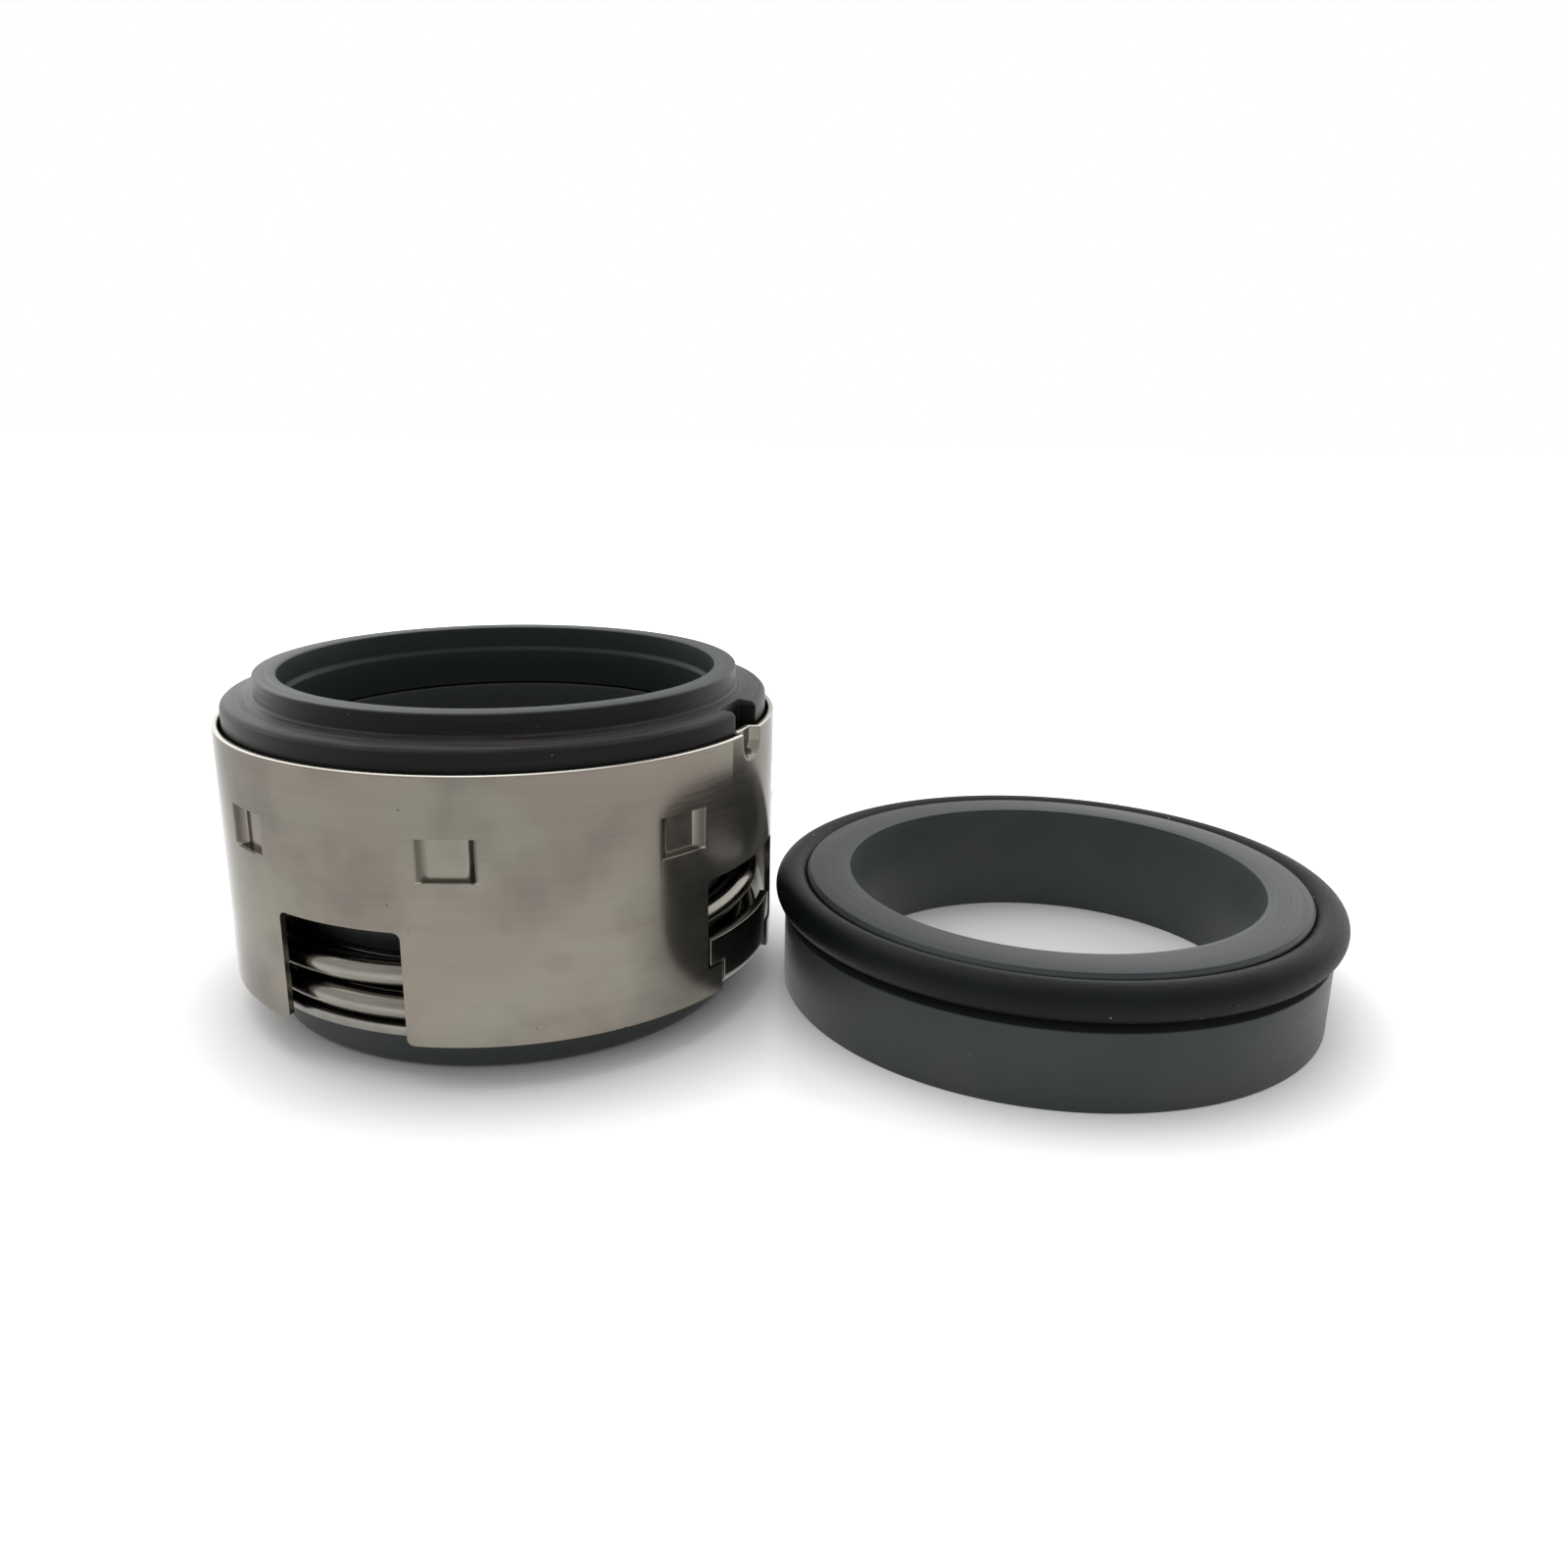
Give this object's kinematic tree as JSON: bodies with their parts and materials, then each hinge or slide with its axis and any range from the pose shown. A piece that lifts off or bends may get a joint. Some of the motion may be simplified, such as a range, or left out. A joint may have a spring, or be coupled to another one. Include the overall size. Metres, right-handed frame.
{
  "type": "mechanical seal",
  "caption": "Shaft seal: a rubber-bellows head with a spring inside a windowed steel shell and a dark face ring, beside its stationary seat ring with a rubber O-ring.",
  "frame": {"origin": "on the shaft's axis at the foot of the bellows, which stands on the ground plane", "axes": "+Z along the shaft's axis towards the sealing face, +X to the seat, which stands beside the head"},
  "size_m": [0.1511, 0.077, 0.0439],
  "materials": {
    "shell_steel": "satin stainless sheet, finely brushed round the shell",
    "pressed_steel": "pressed stainless sheet",
    "spring_wire": "drawn spring wire, smooth",
    "face_ring": "dark grey ceramic, turned and lapped",
    "seat_ring": "dark grey ceramic, ground satin",
    "bellows_rubber": "moulded rubber, satin",
    "o_ring_rubber": "moulded rubber, satin black"
  },
  "bodies": {
    "tail": {"bellows": "bellows_rubber", "drive_ring": "pressed_steel", "coil_spring": "spring_wire", "seat_ring": "seat_ring", "seat_o_ring": "o_ring_rubber"},
    "face_unit": {"retainer_shell": "shell_steel", "primary_ring": "face_ring", "spring_disc": "pressed_steel"}
  },
  "joints": [
    {"name": "face_travel", "type": "slide", "parent": "tail", "child": "face_unit", "axis": [0, 0, 1], "range_m": [-0.004, 0], "stiffness_N_per_m": 2000, "springref_m": 0.002, "deforming": ["coil_spring", "bellows"]}
  ]
}
